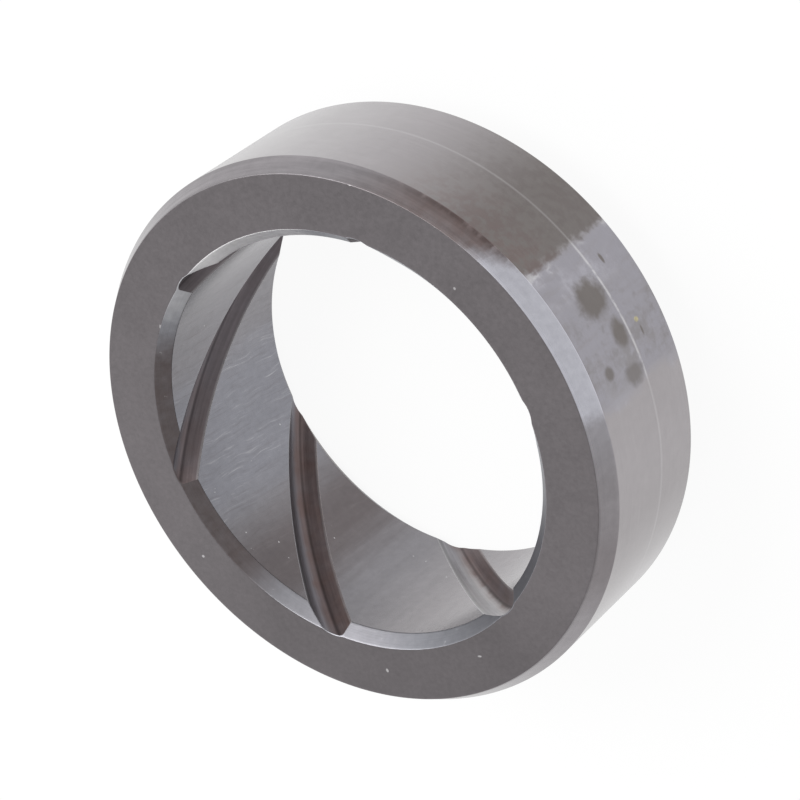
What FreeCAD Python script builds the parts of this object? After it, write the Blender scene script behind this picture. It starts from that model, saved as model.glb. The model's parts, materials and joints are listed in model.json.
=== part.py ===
# Plain steel bushing with oil grooves, in millimetres.
# One turned and ground ring. It stands on its back face, with the marked face up.
# The origin is on the axis in the plane of the back face, and +Z is the axis.
import FreeCAD, Part
import Sketcher
import os

Vector = FreeCAD.Vector
Constraint = Sketcher.Constraint

# The ends of a sketch line, as the sketch numbers them
START = 1
END = 2

# The sketch's own axes and origin
ORIGIN_POINT = (-1, 1)
HORIZONTAL_AXIS = -1

# Driving sizes: name, value, what it is
SIZES = [
    ("outside_diameter", 82.0, "ground outside, pressed into its housing"),
    ("bore_diameter", 60.0, "running bore"),
    ("length", 29.0, "from the back face to the marked face"),
    ("marked_chamfer_depth", 1.55, "outer chamfer at the marked face, square to the axis"),
    ("marked_chamfer_run", 2.75, "outer chamfer at the marked face, along the axis"),
    ("back_face_width", 3.4, "flat ring between the bore chamfer and the lead-in chamfer"),
    ("lead_chamfer_run", 6.0, "outer lead-in chamfer at the back face, along the axis"),
    ("bore_chamfer_depth", 1.6, "bore chamfer at both ends, square to the axis"),
    ("bore_chamfer_run", 1.9, "bore chamfer at both ends, along the axis"),
    ("groove_count", 6, "oil grooves round the bore"),
    ("groove_depth", 1.75, "from the bore to the flat floor of a groove"),
    ("groove_mouth", 7.4, "width of a groove at the bore, along the axis"),
    ("groove_floor", 2.5, "width of a groove's floor, along the axis"),
    ("tool_overlap", 1.0, "the tool's flanks run on so far inside the bore"),
    ("tool_clearance", 2.0, "the mouth stands this far off each face before and after the tool's pass"),
    ("helix_angle", 45.0, "between a groove and the axis, in degrees"),
]

# The tool's section: where its nose and its root are, how much wider it gets per millimetre
# towards the axis, how wide it is at its root, and how far below the back face its pass starts
FLOOR_RADIUS = "Sizes.bore_diameter / 2 + Sizes.groove_depth"
ROOT_RADIUS = "Sizes.bore_diameter / 2 - Sizes.tool_overlap"
TOOL_WIDENING = "(Sizes.groove_mouth - Sizes.groove_floor) / Sizes.groove_depth"
ROOT_WIDTH = f"Sizes.groove_mouth + Sizes.tool_overlap * {TOOL_WIDENING}"
TOOL_DROP = "Sizes.groove_mouth / 2 + Sizes.tool_clearance"


def add_sheet(doc):
    """The driving sizes, one row each, with an alias on the value."""
    sheet = doc.addObject("Spreadsheet::Sheet", "Sizes")
    for row, (name, value, meaning) in enumerate(SIZES, start=1):
        sheet.set(f"A{row}", name)
        sheet.set(f"B{row}", str(value))
        sheet.set(f"C{row}", meaning)
        sheet.setAlias(f"B{row}", name)
    doc.recompute()
    return sheet


def origin_feature(body, role):
    """One of the body's own planes or axes, found by its role."""
    for feature in body.Origin.OriginFeatures:
        if feature.Role == role:
            return feature
    raise RuntimeError(f"{body.Label} has no {role}")


def add_axial_sketch(body, name):
    """A sketch in the XZ plane: its x is the radius, its y is the height."""
    sketch = body.newObject("Sketcher::SketchObject", name)
    sketch.AttachmentSupport = [(origin_feature(body, "XZ_Plane"), "")]
    sketch.MapMode = "FlatFace"
    return sketch


def drive(sketch, constraint, name, expression):
    """A named constraint of the sketch, driven by the sheet."""
    index = sketch.addConstraint(constraint)
    sketch.renameConstraint(index, name)
    sketch.setExpression(f"Constraints.{name}", expression)


def drive_across(sketch, name, inner, outer, expression):
    """The distance between two points along the radius."""
    span = sketch.getPoint(*outer).x - sketch.getPoint(*inner).x
    drive(sketch, Constraint("DistanceX", *inner, *outer, span), name, expression)


def drive_along(sketch, name, lower, upper, expression):
    """The distance between two points along the axis."""
    span = sketch.getPoint(*upper).y - sketch.getPoint(*lower).y
    drive(sketch, Constraint("DistanceY", *lower, *upper, span), name, expression)


def draw_outline(sketch, corners):
    """Closed straight lines through the corners. Each line starts at its own corner."""
    edges = []
    for corner, following in zip(corners, corners[1:] + corners[:1]):
        edges.append(sketch.addGeometry(Part.LineSegment(corner, following), False))
    for edge, following in zip(edges, edges[1:] + edges[:1]):
        sketch.addConstraint(Constraint("Coincident", edge, END, following, START))
    return edges


def draw_ring_section(sketch, sheet):
    """Half the ring's section: bore, two bore chamfers, two faces, outside, two outer chamfers."""
    bore = sheet.bore_diameter / 2
    outside = sheet.outside_diameter / 2
    length = sheet.length
    face_bore = bore + sheet.bore_chamfer_depth
    corners = [
        Vector(face_bore, 0, 0),
        Vector(bore, sheet.bore_chamfer_run, 0),
        Vector(bore, length - sheet.bore_chamfer_run, 0),
        Vector(face_bore, length, 0),
        Vector(outside - sheet.marked_chamfer_depth, length, 0),
        Vector(outside, length - sheet.marked_chamfer_run, 0),
        Vector(outside, sheet.lead_chamfer_run, 0),
        Vector(face_bore + sheet.back_face_width, 0, 0),
    ]
    edges = draw_outline(sketch, corners)
    back_bore_chamfer, bore_wall, front_bore_chamfer, marked_face = edges[:4]
    marked_chamfer, outer_wall, lead_chamfer, back_face = edges[4:]

    for edge in (bore_wall, outer_wall):
        sketch.addConstraint(Constraint("Vertical", edge))
    for edge in (marked_face, back_face):
        sketch.addConstraint(Constraint("Horizontal", edge))
    sketch.addConstraint(Constraint("PointOnObject", back_face, END, HORIZONTAL_AXIS))

    # Each measure runs from its inner end to its outer end, or from its lower end to its upper end
    across = [
        ("bore_radius", ORIGIN_POINT, (bore_wall, START), "Sizes.bore_diameter / 2"),
        ("outside_radius", ORIGIN_POINT, (outer_wall, START), "Sizes.outside_diameter / 2"),
        ("back_bore_depth", (bore_wall, START), (back_bore_chamfer, START), "Sizes.bore_chamfer_depth"),
        ("front_bore_depth", (bore_wall, END), (front_bore_chamfer, END), "Sizes.bore_chamfer_depth"),
        ("marked_depth", (marked_chamfer, START), (marked_chamfer, END), "Sizes.marked_chamfer_depth"),
        ("back_width", (back_face, END), (back_face, START), "Sizes.back_face_width"),
    ]
    along = [
        ("height", ORIGIN_POINT, (marked_face, START), "Sizes.length"),
        ("back_bore_run", (back_bore_chamfer, START), (bore_wall, START), "Sizes.bore_chamfer_run"),
        ("front_bore_run", (bore_wall, END), (front_bore_chamfer, END), "Sizes.bore_chamfer_run"),
        ("marked_run", (outer_wall, START), (marked_chamfer, START), "Sizes.marked_chamfer_run"),
        ("lead_run", (lead_chamfer, END), (outer_wall, END), "Sizes.lead_chamfer_run"),
    ]
    for measure in across:
        drive_across(sketch, *measure)
    for measure in along:
        drive_along(sketch, *measure)


def draw_tool_section(sketch, sheet):
    """The flat-nosed tool's section, below the back face where its pass starts."""
    depth = sheet.groove_depth
    widening = (sheet.groove_mouth - sheet.groove_floor) / depth
    floor_half = sheet.groove_floor / 2
    root_half = (sheet.groove_mouth + sheet.tool_overlap * widening) / 2
    floor_radius = sheet.bore_diameter / 2 + depth
    root_radius = sheet.bore_diameter / 2 - sheet.tool_overlap
    middle = -sheet.groove_mouth / 2 - sheet.tool_clearance
    corners = [
        Vector(floor_radius, middle - floor_half, 0),
        Vector(floor_radius, middle + floor_half, 0),
        Vector(root_radius, middle + root_half, 0),
        Vector(root_radius, middle - root_half, 0),
    ]
    nose, upper_flank, root, lower_flank = draw_outline(sketch, corners)
    for edge in (nose, root):
        sketch.addConstraint(Constraint("Vertical", edge))
    drive_across(sketch, "nose_radius", ORIGIN_POINT, (nose, START), FLOOR_RADIUS)
    drive_across(sketch, "root_radius", ORIGIN_POINT, (root, START), ROOT_RADIUS)
    drive_along(sketch, "nose_width", (nose, START), (nose, END), "Sizes.groove_floor")
    drive_along(sketch, "root_width", (root, END), (root, START), ROOT_WIDTH)
    drive_along(sketch, "nose_drop", (nose, START), ORIGIN_POINT, f"{TOOL_DROP} + Sizes.groove_floor / 2")
    drive_along(sketch, "root_drop", (root, END), ORIGIN_POINT, f"{TOOL_DROP} + ({ROOT_WIDTH}) / 2")


def add_ring(body, sheet):
    """The turned ring, without its grooves."""
    section = add_axial_sketch(body, "RingSection")
    draw_ring_section(section, sheet)
    ring = body.newObject("PartDesign::Revolution", "Ring")
    ring.Profile = section
    ring.ReferenceAxis = (origin_feature(body, "Z_Axis"), [""])
    ring.Angle = 360
    return ring


def add_groove(body, sheet):
    """One oil groove: a right-handed helix that runs out through both bore chamfers."""
    section = add_axial_sketch(body, "GrooveSection")
    draw_tool_section(section, sheet)
    groove = body.newObject("PartDesign::SubtractiveHelix", "Groove")
    groove.Profile = section
    groove.ReferenceAxis = (origin_feature(body, "Z_Axis"), [""])
    groove.Mode = "pitch-height-angle"
    groove.LeftHanded = False
    groove.Refine = False
    groove.setExpression("Pitch", "pi * Sizes.bore_diameter / tan(Sizes.helix_angle)")
    groove.setExpression("Height", f"Sizes.length + 2 * ({TOOL_DROP})")
    return groove


def add_groove_pattern(body, groove):
    """The grooves, spread evenly round the bore."""
    pattern = body.newObject("PartDesign::PolarPattern", "Grooves")
    pattern.Originals = [groove]
    pattern.Axis = (origin_feature(body, "Z_Axis"), [""])
    pattern.Angle = 360
    pattern.setExpression("Occurrences", "Sizes.groove_count")
    pattern.Refine = False
    body.Tip = pattern
    return pattern


def check(doc, body, stages):
    """Every object is sound, and each stage cuts what the one before it left."""
    for item in doc.Objects:
        if "Invalid" in item.State or "Error" in item.State:
            raise RuntimeError(f"{item.Label} failed")
    for earlier, later in zip(stages, stages[1:]):
        if not later.Shape.Volume < earlier.Shape.Volume:
            raise RuntimeError(f"{later.Label} cuts nothing")
    if body.Shape.isNull() or not body.Shape.isValid():
        raise RuntimeError(f"{body.Label} has no valid shape")
    if len(body.Shape.Solids) != 1:
        raise RuntimeError(f"{body.Label} is not one solid")


def main():
    doc = FreeCAD.newDocument("Bushing")
    sheet = add_sheet(doc)
    body = doc.addObject("PartDesign::Body", "Bushing")
    body.Label = "bushing"
    ring = add_ring(body, sheet)
    doc.recompute()
    groove = add_groove(body, sheet)
    doc.recompute()
    pattern = add_groove_pattern(body, groove)
    body.Placement = FreeCAD.Placement()
    doc.recompute()
    stages = (ring, groove, pattern)
    check(doc, body, stages)
    os.makedirs("parts", exist_ok=True)
    body.Shape.exportStep(f"parts/{body.Label}.step")
    for stage in stages:
        print(stage.Label, "volume", round(stage.Shape.Volume, 1))


main()
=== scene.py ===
"""Looks of a grooved steel bushing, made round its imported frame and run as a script.

The ring is one closed mesh. Its section is worked out in each of many planes through the axis, and
the planes twist with the helix, so that the grid runs along the oil grooves. Each zone of the ring
has its own finish. Lengths are in metres and angles in radians, and in the shaders, where the marks
of wear are, they are in millimetres and degrees.
"""
import json
import math

import bpy
from mathutils import Matrix, Vector


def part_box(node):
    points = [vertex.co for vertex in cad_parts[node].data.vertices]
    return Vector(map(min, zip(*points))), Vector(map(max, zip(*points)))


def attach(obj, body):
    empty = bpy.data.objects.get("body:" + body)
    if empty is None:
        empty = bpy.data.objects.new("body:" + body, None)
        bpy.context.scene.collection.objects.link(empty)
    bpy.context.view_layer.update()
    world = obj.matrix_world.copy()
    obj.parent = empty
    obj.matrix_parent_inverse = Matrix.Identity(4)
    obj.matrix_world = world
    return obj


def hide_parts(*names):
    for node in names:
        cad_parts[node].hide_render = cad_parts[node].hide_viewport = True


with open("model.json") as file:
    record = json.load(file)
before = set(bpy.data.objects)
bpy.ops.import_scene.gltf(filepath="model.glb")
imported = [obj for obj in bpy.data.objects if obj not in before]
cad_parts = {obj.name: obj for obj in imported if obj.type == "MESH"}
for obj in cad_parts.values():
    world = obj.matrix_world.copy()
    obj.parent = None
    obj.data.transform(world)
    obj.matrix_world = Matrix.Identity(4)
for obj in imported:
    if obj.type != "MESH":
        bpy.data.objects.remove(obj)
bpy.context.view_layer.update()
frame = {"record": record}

bl_info = {
    "name": "Grooved Bushing",
    "version": (1, 0, 0),
    "blender": (4, 5, 0),
    "location": "3D View > Sidebar > Bushing",
    "description": "Makes a ground steel bushing with helical oil grooves, and its stage",
    "category": "Add Mesh",
}

NODE = "bushing"
BODY = "root"
MM = 0.001

# What the frame says about the ring
MOUNTS = {mount["name"]: mount for mount in frame["record"]["mounts"]}
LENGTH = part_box(NODE)[1].z
BORE_RADIUS = MOUNTS["bore"]["dims"]["r_mm"] * MM
BORE_WALL = MOUNTS["bore"]["dims"]["length_mm"] * MM
OUTSIDE_RADIUS = MOUNTS["outside"]["dims"]["r_mm"] * MM
OUTSIDE_WALL = MOUNTS["outside"]["dims"]["length_mm"] * MM
OUTSIDE_MIDDLE = MOUNTS["outside"]["pos_m"][2]

# Marks of wear, painted light and painted shade on the outside and its chamfer, in degrees from the middle
# of the wiped stretch
WIPED_MIDDLE = 16.2
WIPED_HALF = 14.3
FILM_FADE = (24, 52)
PAINTED_SHADE_OUTSIDE = (-56, -34)
PAINTED_LIGHT_OUTSIDE = (56, 140)
EDGE_STAIN_FADE = (34, 56)
SHADED_EDGE = (-54, -38)

# The fine line round the outside: its height above the back face, and half its width
SCRIBED_HEIGHT = 14.45
SCRIBED_HALF = 0.18

# Marks of wear, painted light, painted shade and a painted reflection in the bore and on its chamfers, in
# degrees from the middle of the stain on its chamfer
STAIN_MIDDLE = 177
EDGE_STAIN = (-30, 46)
PAINTED_EDGE_SHADE = (48, 90)
PAINTED_REFLECTION_EDGE = (-95, -56)
PAINTED_REFLECTION_FRINGE = (-56, -38)
WORN_BORE = (-12, 26)
SHADED_BORE = (34, 58)
PAINTED_LIGHT_BORE = (64, 98)

# Painted shade on one stretch of the faces: its middle and half of it, in degrees
FACE_SHADE_MIDDLE = 262
FACE_SHADE_HALF = 46

# A yellow speck: round the outside from the middle of the wiped stretch, height, width, how tall
GRIT = (-3.1, 11.9, 0.8, 1.0)

# Spots of oil: round the outside from the middle of the wiped stretch, height, width, how tall, share
OIL_SPOTS = [
    (-6.5, 22.1, 2.0, 2.0, 0.9),
    (-8.8, 16.9, 3.2, 4.2, 0.8),
    (-3.2, 16.4, 4.2, 3.2, 1.0),
    (3.0, 18.1, 5.4, 6.4, 1.0),
    (6.1, 11.5, 1.6, 0.6, 1.0),
    (-4.7, 11.7, 1.6, 0.5, 1.0),
]

# Nicks of the marked face: where they are, and how wide and tall
FACE_NICKS = [
    (-11.4, 38.0, 0.7, 0.4),
    (14.7, 36.7, 0.4, 0.4),
    (18.6, 36.1, 0.5, 0.3),
    (-25.1, 19.2, 0.4, 0.7),
    (26.0, 29.9, 0.5, 0.4),
    (26.0, 21.2, 0.4, 0.4),
    (-31.7, -16.4, 0.5, 0.4),
    (-5.2, -34.9, 0.4, 0.6),
    (11.5, -32.6, 0.7, 0.3),
    (34.4, -19.8, 0.4, 0.4),
]

# How deep the fine relief of each finish is, in millimetres
TURNED_RELIEF = 0.004
SCRATCHED_RELIEF = 0.01
PITTED_RELIEF = 0.012
TOOLED_RELIEF = 0.02

# The floor's half width, and how far it lies under the back face
FLOOR_HALF = 3.0
FLOOR_DROP = 0.05 * MM

# How finely the mesh is divided
ROUND_STEPS = 4
GUARD = 0.25 * MM
LARGEST_SHARE = 0.45
SMALLEST_EDGE = 0.12 * MM

# The zones along the section from the middle of the bore, and how many rows each has
BORE, GROOVE, BORE_EDGE, FACE, CHAMFER, OUTSIDE, LEAD, BACK = range(8)
SECTION_ZONES = [BORE, BORE_EDGE, FACE, CHAMFER, OUTSIDE, LEAD, BACK, BORE_EDGE, BORE]
SECTION_ROWS = [11, 1, 5, 2, 11, 4, 3, 1, 11]

# The parts of a groove's profile, from land to land, and how many columns each has
PROFILE_COLUMNS = [20, 2, 4, 2, 20]


def from_screen(text):
    """The linear colour of six hexadecimal digits, as a screen shows them."""
    parts = [int(text[place:place + 2], 16) / 255 for place in (0, 2, 4)]
    return [part / 12.92 if part <= 0.04045 else ((part + 0.055) / 1.055) ** 2.4 for part in parts]


def size_property(name, description, default):
    return bpy.props.FloatProperty(
        name=name, description=description, default=default, min=0, unit="LENGTH", precision=5
    )


def angle_property(name, description, default):
    return bpy.props.FloatProperty(
        name=name, description=description, default=math.radians(default), unit="ROTATION"
    )


def power_property(name, description, default):
    return bpy.props.FloatProperty(
        name=name, description=description, default=default, min=0, subtype="POWER", unit="POWER"
    )


def share_property(name, description, default):
    return bpy.props.FloatProperty(
        name=name, description=description, default=default, min=0, max=1, subtype="FACTOR"
    )


def colour_property(name, description, screen):
    return bpy.props.FloatVectorProperty(
        name=name, description=description, default=from_screen(screen), min=0, max=1, subtype="COLOR"
    )


class BushingSizes(bpy.types.PropertyGroup):
    """The ring's sizes. The main ones come from the frame."""

    length: size_property("Length", "From the back face to the marked face", LENGTH)
    outside_radius: size_property("Outside Radius", "Of the ground outside", OUTSIDE_RADIUS)
    bore_radius: size_property("Bore Radius", "Of the running bore", BORE_RADIUS)
    bore_chamfer_depth: size_property("Bore Chamfer Depth", "Square to the axis", 1.6 * MM)
    bore_chamfer_run: size_property("Bore Chamfer Run", "Along the axis", (LENGTH - BORE_WALL) / 2)
    chamfer_depth: size_property("Chamfer Depth", "At the marked face, square to the axis", 1.55 * MM)
    chamfer_run: size_property(
        "Chamfer Run", "At the marked face, along the axis", LENGTH - OUTSIDE_MIDDLE - OUTSIDE_WALL / 2
    )
    lead_depth: size_property("Lead Depth", "Lead-in chamfer, square to the axis", 6.0 * MM)
    lead_run: size_property(
        "Lead Run", "Lead-in chamfer, along the axis", OUTSIDE_MIDDLE - OUTSIDE_WALL / 2
    )
    edge_round: size_property("Edge Round", "How far each edge is rounded back", 0.09 * MM)
    groove_count: bpy.props.IntProperty(
        name="Grooves", description="Oil grooves round the bore", default=6, min=1
    )
    groove_depth: size_property("Groove Depth", "From the bore to a groove's floor", 1.75 * MM)
    groove_mouth: size_property("Groove Mouth", "Width along the axis, at the bore", 7.4 * MM)
    groove_floor: size_property("Groove Floor", "Width along the axis, at the floor", 2.5 * MM)
    groove_round: size_property("Groove Round", "How far the floor's corners are rounded", 1.0 * MM)
    helix_angle: angle_property("Helix Angle", "Between a groove and the axis", 45)
    groove_start: size_property(
        "Groove Start", "Below the back face, where the first groove is on the X axis", 5.7 * MM
    )


class BushingFinish(bpy.types.PropertyGroup):
    """The ring's colours and how rough its zones are."""

    face: colour_property("Face", "Dull grey of the two faces", "686466")
    chamfer: colour_property("Chamfer", "Machined outer chamfers", "938F92")
    # Partly the clean chamfer's colour and partly a painted reflection; also the cloth's clouds on the
    # outside
    wiped_chamfer_and_reflection: colour_property("Wiped Chamfer", "Where the outer chamfer is clean", "D0D0D9")
    # The outside colour also paints light in the bore
    outside: colour_property("Outside", "Ground outside", "A39FA1")
    # The wiped colour also paints a reflection on the bore next to its chamfer
    wiped: colour_property("Wiped", "Where the outside is clean", "9C9AA1")
    bore: colour_property("Bore", "Honed bore", "88868A")
    worn: colour_property("Worn", "Where the bore is worn bright", "8E8F97")
    bore_edge: colour_property("Bore Edge", "Machined chamfers of the bore", "94959B")
    groove: colour_property("Groove", "Bare metal in the grooves", "86848A")
    residue: colour_property("Residue", "Old oil in the grooves", "7A6966")
    # Dried oil also paints shade on one side of the outside
    oil: colour_property("Oil", "Dried oil on the outside", "76716F")
    # Old oil also paints shade on the outer chamfer, the bore chamfers and the bore
    old_oil_and_shade: colour_property("Old Oil", "Browner oil on the edges and in the bore", "655D5D")
    grit: colour_property("Grit", "A yellow speck on the outside", "D8CE96")
    # Bare metal also paints light on the outside and in the grooves, highlights on the groove lips, and a
    # reflection on the bore chamfers
    bright: colour_property("Bright", "Bare metal of nicks and scratches", "DDDCDD")
    face_roughness: share_property("Face Roughness", "Of the two faces", 0.5)
    ground_roughness: share_property("Ground Roughness", "Of the outside, chamfers and bore", 0.22)


class BushingStage(bpy.types.PropertyGroup):
    """The camera's place, and the light."""

    lens: bpy.props.FloatProperty(
        name="Lens", description="Focal length in millimetres", default=137.39, min=1, unit="CAMERA"
    )
    distance: size_property("Distance", "From the camera to the ring's middle", 0.42525)
    azimuth: angle_property("Azimuth", "From the X axis towards the Y axis", 27.4236)
    elevation: angle_property("Elevation", "Above the horizon", 47.4528)
    roll: angle_property("Roll", "The camera's turn about its own axis", -128.530)
    floor: colour_property("Floor", "Pale floor", "F5F5F5")
    floor_glow: share_property("Floor Glow", "How much of the floor is plain background", 0.93)
    sky: bpy.props.FloatProperty(name="Sky", description="Strength of the room's light", default=0.7, min=0)
    lamp_distance: size_property("Lamp Distance", "From each soft lamp to the ring's middle", 0.6)
    side_azimuth: angle_property("Side Lamp Azimuth", "From the X axis towards the Y axis", 117)
    side_elevation: angle_property("Side Lamp Elevation", "Above the horizon", 50)
    side_size: size_property("Side Lamp Size", "Across the round lamp", 0.46)
    side_power: power_property("Side Lamp Power", "Of the soft lamp high on one side", 2.8)
    rear_azimuth: angle_property("Rear Lamp Azimuth", "From the X axis towards the Y axis", 222)
    rear_elevation: angle_property("Rear Lamp Elevation", "Above the horizon", 12)
    rear_size: size_property("Rear Lamp Size", "Across the round lamp", 0.8)
    rear_power: power_property("Rear Lamp Power", "Of the soft lamp low behind the ring", 2.4)


class Socket:
    """An output in a shader. Python's operators add Math nodes to it."""

    def __init__(self, shader, link):
        self.shader = shader
        self.link = link

    def math(self, operation, *others):
        return self.shader.math(operation, self, *others)

    def __add__(self, other):
        return self.math("ADD", other)

    def __sub__(self, other):
        return self.math("SUBTRACT", other)

    def __rsub__(self, other):
        return self.shader.math("SUBTRACT", other, self)

    def __mul__(self, other):
        return self.math("MULTIPLY", other)

    def __truediv__(self, other):
        return self.math("DIVIDE", other)

    __radd__ = __add__
    __rmul__ = __mul__


class Shader:
    """A node tree, and the few ways in which its nodes are added."""

    MIX_COLOUR = {"data_type": "RGBA"}
    MIX_FACTOR, MIX_A, MIX_B, MIX_RESULT = 0, 6, 7, 2

    def __init__(self, owner):
        owner.use_nodes = True
        self.tree = owner.node_tree
        self.tree.nodes.clear()

    def node(self, kind, settings=None, values=None, output=0):
        """Adds a node: its settings first, then the values or links of its sockets."""
        node = self.tree.nodes.new(kind)
        for name, setting in (settings or {}).items():
            setattr(node, name, setting)
        for name, value in (values or {}).items():
            if isinstance(value, Socket):
                self.tree.links.new(value.link, node.inputs[name])
            else:
                node.inputs[name].default_value = value
        return Socket(self, node.outputs[output]) if node.outputs else None

    def math(self, operation, *values):
        return self.node("ShaderNodeMath", {"operation": operation}, dict(enumerate(values)))

    def vector(self, x, y, z):
        return self.node("ShaderNodeCombineXYZ", None, {"X": x, "Y": y, "Z": z})

    def mix(self, mask, base, top):
        """A colour: base where the mask is 0 and top where it is 1."""
        base, top = (item if isinstance(item, Socket) else [*item, 1.0] for item in (base, top))
        values = {self.MIX_FACTOR: mask, self.MIX_A: base, self.MIX_B: top}
        return self.node("ShaderNodeMix", self.MIX_COLOUR, values, self.MIX_RESULT)

    def brighten(self, colour, factor):
        """A colour times a number."""
        values = {0: colour, "Scale": factor}
        return self.node("ShaderNodeVectorMath", {"operation": "SCALE"}, values)

    def noise(self, place, detail=2.0, roughness=0.5):
        """Noise from 0 to 1 about a half."""
        values = {"Vector": place, "Scale": 1.0, "Detail": detail, "Roughness": roughness}
        return self.node("ShaderNodeTexNoise", {"noise_dimensions": "3D"}, values)

    def step(self, value, low, high):
        """0 below the lower number, 1 above the higher one, and smooth between them."""
        values = {"Value": value, "From Min": low, "From Max": high}
        return self.node("ShaderNodeMapRange", {"interpolation_type": "SMOOTHSTEP"}, values)

    def bump(self, height, depth_mm):
        values = {"Height": height, "Distance": depth_mm * MM, "Strength": 1.0}
        return self.node("ShaderNodeBump", None, values)

    def finish(self, kind, values):
        """The last shader and the output."""
        last = self.node(kind, None, values)
        output = "ShaderNodeOutputWorld" if kind == "ShaderNodeBackground" else "ShaderNodeOutputMaterial"
        self.node(output, None, {"Surface": last})


class RingShader(Shader):
    """A shader of the ring, with the place on the ring in millimetres."""

    def __init__(self, name):
        self.material = bpy.data.materials.new(name)
        super().__init__(self.material)
        metres = self.node("ShaderNodeTexCoord", output="Object")
        self.place = self.brighten(metres, 1 / MM)
        parts = self.node("ShaderNodeSeparateXYZ", None, {0: self.place})
        self.x = Socket(self, parts.link.node.outputs["X"])
        self.y = Socket(self, parts.link.node.outputs["Y"])
        self.z = Socket(self, parts.link.node.outputs["Z"])
        self.radius = (self.x * self.x + self.y * self.y).math("SQRT")

    def grain(self, per_mm):
        """Fine noise that is alike in all directions."""
        return self.noise(self.brighten(self.place, per_mm), 3.0, 0.6)

    def smears(self, around, along):
        """Noise with so many lengths in a millimetre round the ring and along the axis."""
        return self.noise(self.vector(self.x * around, self.y * around, self.z * along), 3.0, 0.6)

    def lathe(self, around, across):
        """Noise that is drawn out round the axis, as turning and grinding leave it."""
        out = (self.z + self.radius) * across
        return self.noise(self.vector(self.x / self.radius * around, self.y / self.radius * around, out))

    def turn_from(self, angle):
        """How far round the axis a point is from an angle, both in degrees."""
        turn = math.radians(angle)
        ahead = self.x * math.cos(turn) + self.y * math.sin(turn)
        aside = self.y * math.cos(turn) - self.x * math.sin(turn)
        return aside.math("ARCTAN2", ahead) * math.degrees(1)

    def band(self, value, low, high, soft):
        """1 between two values, and 0 beyond them."""
        rise = self.step(value, low - soft, low + soft)
        return rise * (1 - self.step(value, high - soft, high + soft))

    def blot(self, across, along, width, tall, ragged):
        """1 in a ragged round spot, from how far across and along its middle is, in millimetres."""
        wide = across / (width / 2)
        high = along / (tall / 2)
        reach = (wide * wide + high * high).math("SQRT") + ragged
        return 1 - self.step(reach, 0.6, 1.3)

    def steel(self, colour, roughness, height, depth_mm):
        """The finished metal."""
        values = {
            "Base Color": colour,
            "Metallic": 1.0,
            "Roughness": roughness,
            "Normal": self.bump(height, depth_mm),
        }
        self.finish("ShaderNodeBsdfPrincipled", values)
        return self.material


def dull_steel(name, finish):
    """The faces: dull, finely pitted, nicked here and there, and darker over one stretch as painted shade.
    """
    shader = RingShader(name)
    pits = shader.grain(1.6)
    broad = shader.grain(0.1)
    # Painted shade: the faces are darker over one stretch round the axis
    film = shader.band(shader.turn_from(FACE_SHADE_MIDDLE), -FACE_SHADE_HALF, FACE_SHADE_HALF, 16)
    colour = shader.brighten(finish.face, (0.64 + 0.44 * pits + 0.28 * broad) * (1 - 0.18 * film))
    nicks = shader.step(shader.grain(1.1), 0.775, 0.8)
    for x, y, width, tall in FACE_NICKS:
        nick = shader.blot(shader.x - x, shader.y - y, width, tall, pits - 0.5)
        nicks = nicks.math("MAXIMUM", nick)
    colour = shader.mix(nicks * 0.4, colour, finish.bright)
    roughness = finish.face_roughness - 0.06 + 0.12 * pits
    return shader.steel(colour, roughness, pits - nicks, PITTED_RELIEF)


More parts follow.
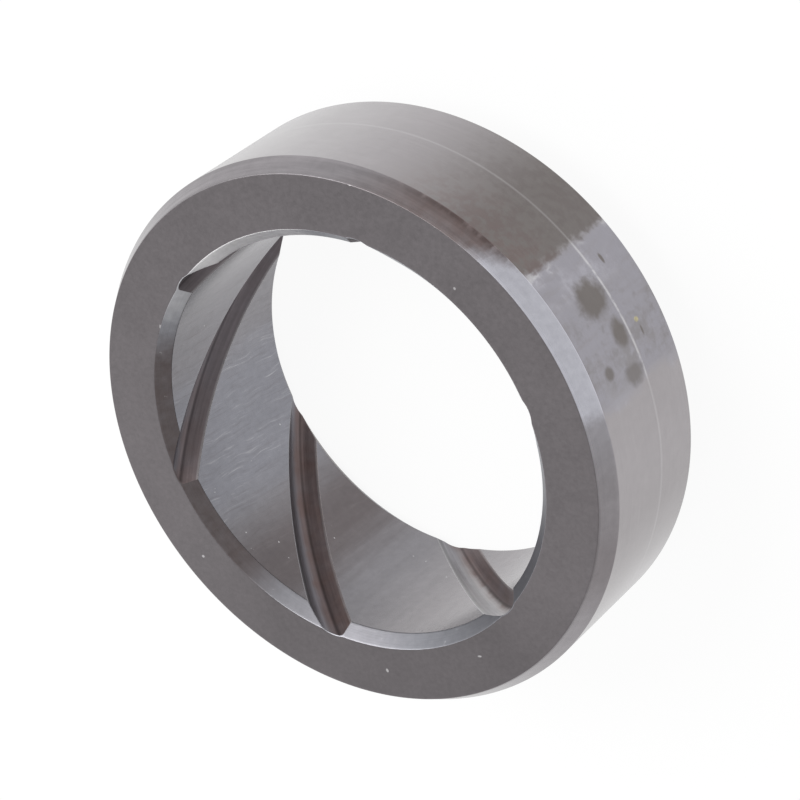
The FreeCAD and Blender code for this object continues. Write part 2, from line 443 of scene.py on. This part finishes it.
class GroundShader(RingShader):
    """A shader of the ground outside, and what lies on it."""

    def __init__(self, name):
        super().__init__(name)
        self.turn = self.turn_from(WIPED_MIDDLE)
        self.along = self.turn * (OUTSIDE_RADIUS / MM * math.radians(1))
        self.fine = self.grain(0.7)
        self.broad = self.noise(self.brighten(self.place, 0.16))
        self.rubs = self.smears(0.9, 0.18)
        self.ragged = 0.9 * (self.fine - 0.5) + 0.5 * (self.broad - 0.5)
        rubbed = self.turn + 1.6 * (self.rubs - 0.5)
        wavy = rubbed + 7 * (self.broad - 0.5) + 2 * (self.fine - 0.5)
        begun = self.step(wavy, -WIPED_HALF - 2, -WIPED_HALF + 2)
        self.wiped = begun * (1 - self.step(rubbed, WIPED_HALF - 1.4, WIPED_HALF + 1.4))

    def shaded_and_lit_sides(self, colour, finish):
        """The outside on both sides of the wiped stretch: painted shade on one, painted light on the other.
        """
        # Painted shade in the colour of dried oil, and painted light in the colour of bare metal
        colour = self.mix(self.band(self.turn, *PAINTED_SHADE_OUTSIDE, 8) * 0.22, colour, finish.oil)
        return self.mix(self.band(self.turn, *PAINTED_LIGHT_OUTSIDE, 10) * 0.18, colour, finish.bright)

    def wiped_stretch(self, colour, finish):
        """The clean stretch, with streaks and clouds left by the cloth."""
        colour = self.mix(self.wiped, colour, finish.wiped)
        streaks = self.step(self.rubs, 0.42, 0.8) * self.wiped
        colour = self.mix(streaks * 0.5, colour, finish.chamfer)
        clouds = self.step(self.broad + 0.5 * self.fine, 0.72, 1.05) * self.wiped
        return self.mix(clouds * 0.24, colour, finish.wiped_chamfer_and_reflection)

    def oil_film(self, colour, finish):
        """The dried film beside the wiped stretch: its edge is sharp and its far side fades."""
        edge = self.turn + 3.5 * (self.fine - 0.5) + 2.0 * (self.rubs - 0.5)
        fade = 1 - self.step(self.turn, *FILM_FADE)
        film = self.step(edge, WIPED_HALF - 1.1, WIPED_HALF + 1.1) * fade
        browner = self.step(self.z + 6 * (self.rubs - 0.5), 15, 24) * self.step(self.fine, 0.35, 0.65)
        colour = self.mix(film * 0.95, colour, self.mix(browner * 0.55, finish.oil, finish.residue))
        mottles = self.step(self.fine + 0.5 * self.broad, 0.6, 0.95) * film
        colour = self.mix(mottles * 0.4, colour, finish.old_oil_and_shade)
        rim = self.band(edge, WIPED_HALF - 1.4, WIPED_HALF - 0.4, 0.6) * self.step(self.broad, 0.45, 0.6)
        return self.mix(rim * 0.4, colour, finish.bright)

    def oil_spots(self, colour, finish):
        """The spots of oil, and the haze and the speck of grit among them."""
        for place, height, width, tall, share in OIL_SPOTS:
            spot = self.blot(self.along - place, self.z - height, width, tall, self.ragged)
            colour = self.mix(spot * share, colour, finish.oil)
        place, height, width, tall = GRIT
        speck = self.blot(self.along - place, self.z - height, width, tall, self.ragged)
        colour = self.mix(speck * 0.8, colour, finish.grit)
        haze = self.step(self.fine + self.broad, 0.88, 1.3) * self.band(self.along, -10, 3, 3)
        return self.mix(haze * self.wiped * 0.6, colour, finish.oil)

    def scribed_line(self):
        """The fine line round the middle: bright where the ring was wiped."""
        line = self.band(self.z - SCRIBED_HEIGHT, -SCRIBED_HALF, SCRIBED_HALF, 0.2)
        return line * (0.16 + 0.4 * self.wiped * self.step(self.fine, 0.3, 0.55))


def ground_steel(name, finish):
    """The outside: fine grinding lines, a scribed line, a wiped stretch and dried oil, with painted shade
    and painted light beside the wiped stretch.
    """
    shader = GroundShader(name)
    lines = shader.lathe(4, 6)
    scribed = shader.scribed_line()
    colour = shader.shaded_and_lit_sides(finish.outside, finish)
    colour = shader.wiped_stretch(colour, finish)
    colour = shader.oil_film(colour, finish)
    colour = shader.oil_spots(colour, finish)
    colour = shader.mix(scribed, colour, finish.bright)
    colour = shader.brighten(colour, 0.84 + 0.12 * lines + 0.12 * shader.fine + 0.1 * shader.broad)
    return shader.steel(colour, finish.ground_roughness, lines - scribed, TURNED_RELIEF)


class ChamferShader(RingShader):
    """A shader of the outer chamfers, and what lies on the one at the marked face."""

    def __init__(self, name, sizes):
        super().__init__(name)
        middle = sizes.length / MM / 2
        self.front = self.step(self.z, middle, middle + 1)
        self.outward = self.radius - (sizes.outside_radius - sizes.chamfer_depth / 2) / MM
        self.turn = self.turn_from(WIPED_MIDDLE)
        self.fine = self.grain(0.7)
        self.rubs = self.smears(0.7, 0.3)
        self.edge = self.turn + 4 * self.outward + 5 * (self.rubs - 0.5)
        self.ended = self.step(self.edge, WIPED_HALF + 3, WIPED_HALF + 12)

    def wiped_stretch(self, colour, finish):
        """The clean stretch, which begins softly and whose light colour is partly a painted reflection, and
        the stretch of painted shade before it.
        """
        begun = 0.7 * self.step(self.turn + 2 * (self.fine - 0.5), -WIPED_HALF - 2, -WIPED_HALF + 2)
        begun = begun + 0.3 * self.step(self.turn, -WIPED_HALF - 16, -WIPED_HALF + 2)
        # The light wiped colour is partly a painted reflection
        colour = self.mix(begun * (1 - self.ended) * self.front, colour, finish.wiped_chamfer_and_reflection)
        shade = self.band(self.turn, *SHADED_EDGE, 8) * self.front * 0.4
        return self.mix(shade, colour, finish.old_oil_and_shade)

    def stained_stretch(self, colour, finish):
        """The brown stain, with darker dashes along its outer edge."""
        stain = self.ended * (1 - self.step(self.edge, *EDGE_STAIN_FADE)) * self.front
        outer = self.step(self.outward, -0.5, 0.6)
        colour = self.mix(stain * (0.25 + 0.25 * outer + 0.6 * self.rubs), colour, finish.residue)
        dashes = self.step(self.outward, 0.3, 0.6) * self.step(self.rubs, 0.3, 0.55) * stain
        return self.brighten(colour, 1 - 0.35 * dashes)


def chamfer_steel(name, finish, sizes):
    """The outer chamfers: turned metal, wiped over one stretch and stained beside it; the wiped stretch is
    partly a painted reflection, and painted shade lies before it.
    """
    shader = ChamferShader(name, sizes)
    lines = shader.lathe(3, 4)
    colour = shader.wiped_stretch(finish.chamfer, finish)
    colour = shader.stained_stretch(colour, finish)
    turned = shader.step(lines, 0.35, 0.65) * shader.step(shader.turn, WIPED_HALF, WIPED_HALF + 12)
    colour = shader.brighten(colour, 0.76 + 0.14 * turned + 0.12 * lines + 0.28 * shader.fine)
    rim = shader.step(shader.z, sizes.length / MM - 0.4, sizes.length / MM - 0.1)
    return shader.steel(colour, finish.ground_roughness + 0.25 * rim, lines, TURNED_RELIEF)


def bore_edge_steel(name, finish):
    """The chamfers of the bore: turned metal, with a painted reflection on one side, brown with oil beside
    it, and painted shade past the oil.
    """
    shader = RingShader(name)
    turn = shader.turn_from(STAIN_MIDDLE)
    lines = shader.lathe(3, 4)
    fine = shader.grain(0.8)
    rubs = shader.smears(0.6, 0.4)
    ragged = turn + 8 * (rubs - 0.5)
    # Painted reflection: a bright stretch of the chamfer, with a ragged fringe beside it
    worn = shader.band(turn, *PAINTED_REFLECTION_EDGE, 5) + 0.4 * shader.band(ragged, *PAINTED_REFLECTION_FRINGE, 6)
    colour = shader.mix(worn * 0.95, finish.bore_edge, finish.bright)
    # Painted shade past the brown stain, in the colour of old oil
    film = shader.band(turn, *PAINTED_EDGE_SHADE, 12)
    colour = shader.mix(film * 0.3, colour, finish.old_oil_and_shade)
    stain = shader.band(ragged, *EDGE_STAIN, 9)
    colour = shader.mix(stain * (0.75 + 0.4 * rubs), colour, finish.old_oil_and_shade)
    flecks = shader.step(fine, 0.68, 0.76)
    colour = shader.mix(flecks * 0.3, colour, finish.bright)
    colour = shader.brighten(colour, 0.72 + 0.24 * lines + 0.34 * fine)
    return shader.steel(colour, finish.ground_roughness + 0.16, lines, TURNED_RELIEF)


class BoreShader(RingShader):
    """A shader of the bore, how it is worn round the axis, and the light and shade painted on it."""

    def __init__(self, name):
        super().__init__(name)
        self.turn = self.turn_from(STAIN_MIDDLE)
        self.fine = self.grain(0.9)
        self.rubs = self.smears(0.55, 0.05)
        self.ragged = self.turn + 9 * (self.rubs - 0.5)
        self.worn = self.band(self.ragged, *WORN_BORE, 7)
        # Painted light: the bore is lighter over this stretch
        self.clean = self.step(self.turn, *PAINTED_LIGHT_BORE)

    def stretches(self, finish):
        """The worn stretch, a stretch of painted shade and one of painted light, one after another round
        the axis, and a painted reflection by the chamfer.
        """
        colour = self.mix(self.worn * 0.7, finish.bore, finish.worn)
        colour = self.mix(self.band(self.ragged, *SHADED_BORE, 9) * 0.75, colour, finish.old_oil_and_shade)
        colour = self.mix(self.clean * 0.7, colour, finish.outside)
        # Painted reflection in the wiped colour, on the bore next to its chamfer
        rim = self.band(self.turn, *PAINTED_REFLECTION_EDGE, 5) * self.step(self.z, 24, 26.5)
        return self.mix(rim * 0.6, colour, finish.wiped)

    def streaks(self):
        """Noise drawn out along the axis and a little aslant, as the running pin leaves it."""
        waver = self.noise(self.brighten(self.place, 0.2), 1.0)
        slant = self.turn * 0.5 + self.z * 0.1 + 1.4 * waver
        return self.noise(self.vector(slant * 2.4, 0, self.z * 0.12), 3.0, 0.7)


def bore_steel(name, finish):
    """The bore: honed, worn bright on its far side, with fine scratches along the axis, and with painted
    light and shade round it.
    """
    shader = BoreShader(name)
    colour = shader.stretches(finish)
    streaks = shader.streaks()
    scratches = shader.step(streaks, 0.54, 0.8) * shader.step(shader.rubs, 0.3, 0.6)
    colour = shader.mix(scratches * (0.06 + 0.5 * shader.worn), colour, finish.bright)
    dull = shader.step(1 - streaks, 0.5, 0.75) * (1 - shader.step(shader.turn, 34, 50))
    colour = shader.mix(dull * 0.3, colour, finish.old_oil_and_shade)
    specks = shader.step(shader.noise(shader.brighten(shader.place, 1.4), 1.0), 0.79, 0.82)
    colour = shader.mix(specks * 0.6, colour, finish.bright)
    # Painted shade: darker towards the marked face, except where light is painted
    upper = shader.step(shader.z, 14, 27) * (1 - shader.clean)
    colour = shader.brighten(colour, 0.78 + 0.24 * shader.fine + 0.2 * shader.rubs - 0.14 * upper)
    return shader.steel(colour, finish.ground_roughness, shader.rubs - scratches, SCRATCHED_RELIEF)


class GrooveShader(RingShader):
    """A shader of the grooves. Across is how far along the axis a groove's middle lies above a point."""

    def __init__(self, name, sizes):
        super().__init__(name)
        turn_per_mm = math.degrees(math.tan(sizes.helix_angle)) / (sizes.bore_radius / MM)
        pitch = 360 / sizes.groove_count / turn_per_mm
        climb = self.turn_from(0) / turn_per_mm - self.z - sizes.groove_start / MM
        self.across = climb.math("WRAP", pitch / 2, -pitch / 2)
        self.mouth = sizes.groove_mouth / MM / 2
        self.floor = sizes.groove_floor / MM / 2
        self.turn = self.turn_from(STAIN_MIDDLE)
        self.fine = self.grain(0.9)
        self.rubs = self.noise(self.brighten(self.place, 0.25))
        self.edge = self.across + 0.8 * (self.fine - 0.5) + 1.2 * (self.rubs - 0.5)

    def oily_half_and_shade(self, colour, finish):
        """Old oil on the lower half, and painted shade in two dark lines beside the floor."""
        share = (0.35 + 0.9 * self.rubs) * (0.45 + 0.55 * self.step(self.turn, -15, 25))
        colour = self.mix(self.step(self.edge, -1.3, 0.4) * share, colour, finish.residue)
        # Painted shade: a dark line at the floor's corner and one down a flank
        corner = self.band(self.across, self.floor - 0.4, self.floor + 0.1, 0.2)
        shaded_flank = self.band(self.across, -self.mouth, -self.floor - 1.2, 0.3)
        return self.brighten(colour, 1 - 0.4 * (corner + shaded_flank))

    def painted_highlights(self, colour, finish):
        """Painted light on the upper half on one side of the bore, and painted highlights on the lips."""
        clean = self.step(self.turn, *PAINTED_LIGHT_BORE) * (1 - self.step(self.edge, -0.2, 1.2))
        colour = self.mix(clean * 0.5, colour, finish.bright)
        # Painted highlight along the lips
        lip = self.step(self.across.math("ABSOLUTE"), self.mouth - 0.4, self.mouth - 0.1)
        return self.mix(lip * 0.3, colour, finish.bright)


def groove_steel(name, finish, sizes):
    """The grooves: tool marks along them, a painted highlight on the lip, old oil on the lower half, and
    painted shade beside the floor and at the ends.
    """
    shader = GrooveShader(name, sizes)
    colour = shader.oily_half_and_shade(finish.groove, finish)
    colour = shader.painted_highlights(colour, finish)
    marks = shader.noise(shader.vector(shader.across * 1.1, 0, shader.z * 0.05), 3.0, 0.75)
    # Painted shade at the ends by the marked face, on one side of the bore
    ends = shader.step(shader.z, 24, 28) * (1 - shader.step(shader.turn, -50, -40))
    colour = shader.brighten(colour, (0.35 + 0.3 * shader.fine + marks) * (1 - 0.35 * ends))
    return shader.steel(colour, 0.46 + 0.1 * shader.fine, shader.fine + marks, TOOLED_RELIEF)


def ring_materials(finish, sizes):
    """The finishes in the order of the zones."""
    chamfer = chamfer_steel("chamfer_steel", finish, sizes)
    face = dull_steel("face_steel", finish)
    return [
        bore_steel("bore_steel", finish),
        groove_steel("groove_steel", finish, sizes),
        bore_edge_steel("bore_chamfer_steel", finish),
        face,
        chamfer,
        ground_steel("ground_steel", finish),
        chamfer,
        face,
    ]


def rounded_corner(before, corner, after, reach):
    """Points of a quadratic curve that rounds a corner between its two sides."""
    sides = []
    for neighbour in (before, after):
        side = neighbour - corner
        sides.append(corner + side.normalized() * min(reach, LARGEST_SHARE * side.length))
    start, end = sides
    points = []
    for step in range(ROUND_STEPS + 1):
        share = step / ROUND_STEPS
        points.append(start.lerp(corner, share).lerp(corner.lerp(end, share), share))
    return points


def between(start, end, count):
    """Even points between two ends, and one more close to each end to hold the edge."""
    guard = min(GUARD / max((end - start).length, GUARD), 1 / (count + 2))
    shares = [guard, *((number + 1) / (count + 1) for number in range(count)), 1 - guard]
    return [start.lerp(end, share) for share in shares]


def rounded_path(corners, reaches, counts):
    """Points along a path whose inner corners are rounded, each with the run that it starts."""
    curves = [[corners[0]]]
    for before, corner, after, reach in zip(corners, corners[1:], corners[2:], reaches):
        curves.append(rounded_corner(before, corner, after, reach))
    curves.append([corners[-1]])
    points = []
    for run, (curve, following, count) in enumerate(zip(curves, curves[1:], counts)):
        middle = len(curve) // 2
        for number, point in enumerate(curve):
            points.append((point, run if number >= middle else run - 1))
        for point in between(curve[-1], following[0], count):
            points.append((point, run))
    points.append((corners[-1], len(counts)))
    return points


def groove_columns(sizes):
    """Half a land, a groove and half a land: how far along the axis, and how deep."""
    pitch = 2 * math.pi * sizes.bore_radius / sizes.groove_count / math.tan(sizes.helix_angle)
    mouth = sizes.groove_mouth / 2
    floor = sizes.groove_floor / 2
    corners = [
        Vector((-pitch / 2, 0)),
        Vector((-mouth, 0)),
        Vector((-floor, sizes.groove_depth)),
        Vector((floor, sizes.groove_depth)),
        Vector((mouth, 0)),
        Vector((pitch / 2, 0)),
    ]
    reaches = [sizes.edge_round, sizes.groove_round, sizes.groove_round, sizes.edge_round]
    path = rounded_path(corners, reaches, PROFILE_COLUMNS)
    return [point for point, run in path[:-1]]


def ring_section(sizes, depth):
    """The ring's section where a groove is so deep, from the middle of the bore and back to it."""
    wall = sizes.bore_radius + depth
    left = max(sizes.bore_chamfer_depth - depth, 0)
    cut = max(left * sizes.bore_chamfer_run / sizes.bore_chamfer_depth, SMALLEST_EDGE)
    face_inner = max(sizes.bore_radius + sizes.bore_chamfer_depth, wall + SMALLEST_EDGE)
    middle = Vector((wall, sizes.length / 2))
    corners = [
        middle,
        Vector((wall, sizes.length - cut)),
        Vector((face_inner, sizes.length)),
        Vector((sizes.outside_radius - sizes.chamfer_depth, sizes.length)),
        Vector((sizes.outside_radius, sizes.length - sizes.chamfer_run)),
        Vector((sizes.outside_radius, sizes.lead_run)),
        Vector((sizes.outside_radius - sizes.lead_depth, 0)),
        Vector((face_inner, 0)),
        Vector((wall, cut)),
        middle,
    ]
    path = rounded_path(corners, [sizes.edge_round] * (len(corners) - 2), SECTION_ROWS)
    return path[:-1]


def ring_mesh(sizes):
    """The ring as a closed grid of columns round the axis and rows round its section."""
    mesh = bpy.data.meshes.new("ring")
    turn_per_length = math.tan(sizes.helix_angle) / sizes.bore_radius
    profile = groove_columns(sizes)
    rows = [SECTION_ZONES[run] for point, run in ring_section(sizes, 0)]
    points = []
    depths = []
    for groove in range(sizes.groove_count):
        for offset, depth in profile:
            start = 2 * math.pi * groove / sizes.groove_count + offset * turn_per_length
            depths.append(depth)
            for (radius, height), run in ring_section(sizes, depth):
                angle = start + (height + sizes.groove_start) * turn_per_length
                points.append((radius * math.cos(angle), radius * math.sin(angle), height))
    faces = []
    zones = []
    row_count = len(rows)
    column_count = len(depths)
    for column in range(column_count):
        following = (column + 1) % column_count
        in_groove = max(depths[column], depths[following]) > 0
        for row, zone in enumerate(rows):
            above = (row + 1) % row_count
            faces.append((
                column * row_count + row,
                column * row_count + above,
                following * row_count + above,
                following * row_count + row,
            ))
            zones.append(GROOVE if in_groove and zone == BORE else zone)
    mesh.from_pydata(points, [], faces)
    mesh.polygons.foreach_set("material_index", zones)
    mesh.polygons.foreach_set("use_smooth", [True] * len(faces))
    mesh.update()
    return mesh


def add_object(name, data):
    """A new object of the scene, at the origin."""
    item = bpy.data.objects.new(name, data)
    bpy.context.scene.collection.objects.link(item)
    return item


class BUSHING_OT_make_ring(bpy.types.Operator):
    """Make the ring and give each of its zones a finish"""

    bl_idname = "bushing.make_ring"
    bl_label = "Make Ring"

    def execute(self, context):
        scene = context.scene
        ring = add_object("steel_ring", ring_mesh(scene.bushing_sizes))
        for material in ring_materials(scene.bushing_finish, scene.bushing_sizes):
            ring.data.materials.append(material)
        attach(ring, BODY)
        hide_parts(NODE)
        return {"FINISHED"}


def background_rays(shader):
    """1 for the rays that show the plain background: to the camera, and in metal and glass."""
    rays = shader.node("ShaderNodeLightPath").link.node.outputs
    seen = Socket(shader, rays["Is Camera Ray"])
    for name in ("Is Glossy Ray", "Is Transmission Ray"):
        seen = seen.math("MAXIMUM", Socket(shader, rays[name]))
    return seen


def add_floor(stage):
    """The pale floor, just under the back face."""
    mesh = bpy.data.meshes.new("floor")
    signs = [(-1, -1), (1, -1), (1, 1), (-1, 1)]
    corners = [(x * FLOOR_HALF, y * FLOOR_HALF, -FLOOR_DROP) for x, y in signs]
    mesh.from_pydata(corners, [], [(0, 1, 2, 3)])
    floor = add_object("floor", mesh)
    material = bpy.data.materials.new("pale_floor")
    shader = Shader(material)
    lit = shader.node("ShaderNodeBsdfDiffuse", None, {"Color": list(stage.floor) + [1.0]})
    plain = shader.node("ShaderNodeEmission", None, {"Strength": 1.0})
    glow = background_rays(shader) * stage.floor_glow
    shader.finish("ShaderNodeMixShader", {0: glow, 1: lit, 2: plain})
    floor.data.materials.append(material)


def add_room(stage):
    """The even light of a white room."""
    world = bpy.data.worlds.new("white_room")
    bpy.context.scene.world = world
    Shader(world).finish("ShaderNodeBackground", {"Color": (1.0, 1.0, 1.0, 1.0), "Strength": stage.sky})


def direction(azimuth, elevation):
    """The way from the origin towards an azimuth and an elevation."""
    level = math.cos(elevation)
    return Vector((math.cos(azimuth) * level, math.sin(azimuth) * level, math.sin(elevation)))


def add_lamp(stage, sizes, which):
    """A round soft lamp that is turned to the ring's middle, with the sizes of that name."""
    data = bpy.data.lights.new(f"{which}_lamp", "AREA")
    data.shape = "DISK"
    data.size = getattr(stage, f"{which}_size")
    data.energy = getattr(stage, f"{which}_power")
    lamp = add_object(data.name, data)
    towards = direction(getattr(stage, f"{which}_azimuth"), getattr(stage, f"{which}_elevation"))
    lamp.location = Vector((0, 0, sizes.length / 2)) + towards * stage.lamp_distance
    lamp.rotation_euler = towards.to_track_quat("Z", "Y").to_euler()


def add_camera(stage, sizes):
    """The camera at the photograph's viewing angle."""
    data = bpy.data.cameras.new("camera")
    data.lens = stage.lens
    camera = add_object("camera", data)
    back = direction(stage.azimuth, stage.elevation)
    side = Vector((0, 0, 1)).cross(back).normalized()
    over = back.cross(side)
    right = side * math.cos(stage.roll) + over * math.sin(stage.roll)
    up = back.cross(right)
    turn = Matrix((right, up, back)).transposed().to_4x4()
    middle = Vector((0, 0, sizes.length / 2))
    camera.matrix_world = Matrix.Translation(middle + back * stage.distance) @ turn
    data.clip_start = stage.distance / 10
    data.clip_end = stage.distance * 100
    bpy.context.scene.camera = camera


class BUSHING_OT_make_stage(bpy.types.Operator):
    """Make the floor, the light and the camera"""

    bl_idname = "bushing.make_stage"
    bl_label = "Make Stage"

    def execute(self, context):
        scene = context.scene
        stage = scene.bushing_stage
        sizes = scene.bushing_sizes
        add_floor(stage)
        add_room(stage)
        for which in ("side", "rear"):
            add_lamp(stage, sizes, which)
        add_camera(stage, sizes)
        scene.view_settings.view_transform = "Standard"
        return {"FINISHED"}


class BUSHING_PT_panel(bpy.types.Panel):
    """The sizes, the finishes, the stage and what they make"""

    bl_idname = "BUSHING_PT_panel"
    bl_label = "Grooved Bushing"
    bl_space_type = "VIEW_3D"
    bl_region_type = "UI"
    bl_category = "Bushing"

    def draw(self, context):
        layout = self.layout
        scene = context.scene
        for group in (scene.bushing_sizes, scene.bushing_finish, scene.bushing_stage):
            column = layout.column(align=True)
            for name in group.__annotations__:
                column.prop(group, name)
        for operator in (BUSHING_OT_make_ring, BUSHING_OT_make_stage):
            layout.operator(operator.bl_idname)


CLASSES = (
    BushingSizes,
    BushingFinish,
    BushingStage,
    BUSHING_OT_make_ring,
    BUSHING_OT_make_stage,
    BUSHING_PT_panel,
)
GROUPS = {
    "bushing_sizes": BushingSizes,
    "bushing_finish": BushingFinish,
    "bushing_stage": BushingStage,
}


def register():
    for item in CLASSES:
        bpy.utils.register_class(item)
    for name, group in GROUPS.items():
        setattr(bpy.types.Scene, name, bpy.props.PointerProperty(type=group))


def unregister():
    for name in GROUPS:
        delattr(bpy.types.Scene, name)
    for item in reversed(CLASSES):
        bpy.utils.unregister_class(item)


def main():
    register()
    bpy.ops.bushing.make_ring()
    bpy.ops.bushing.make_stage()


if __name__ == "__main__":
    main()
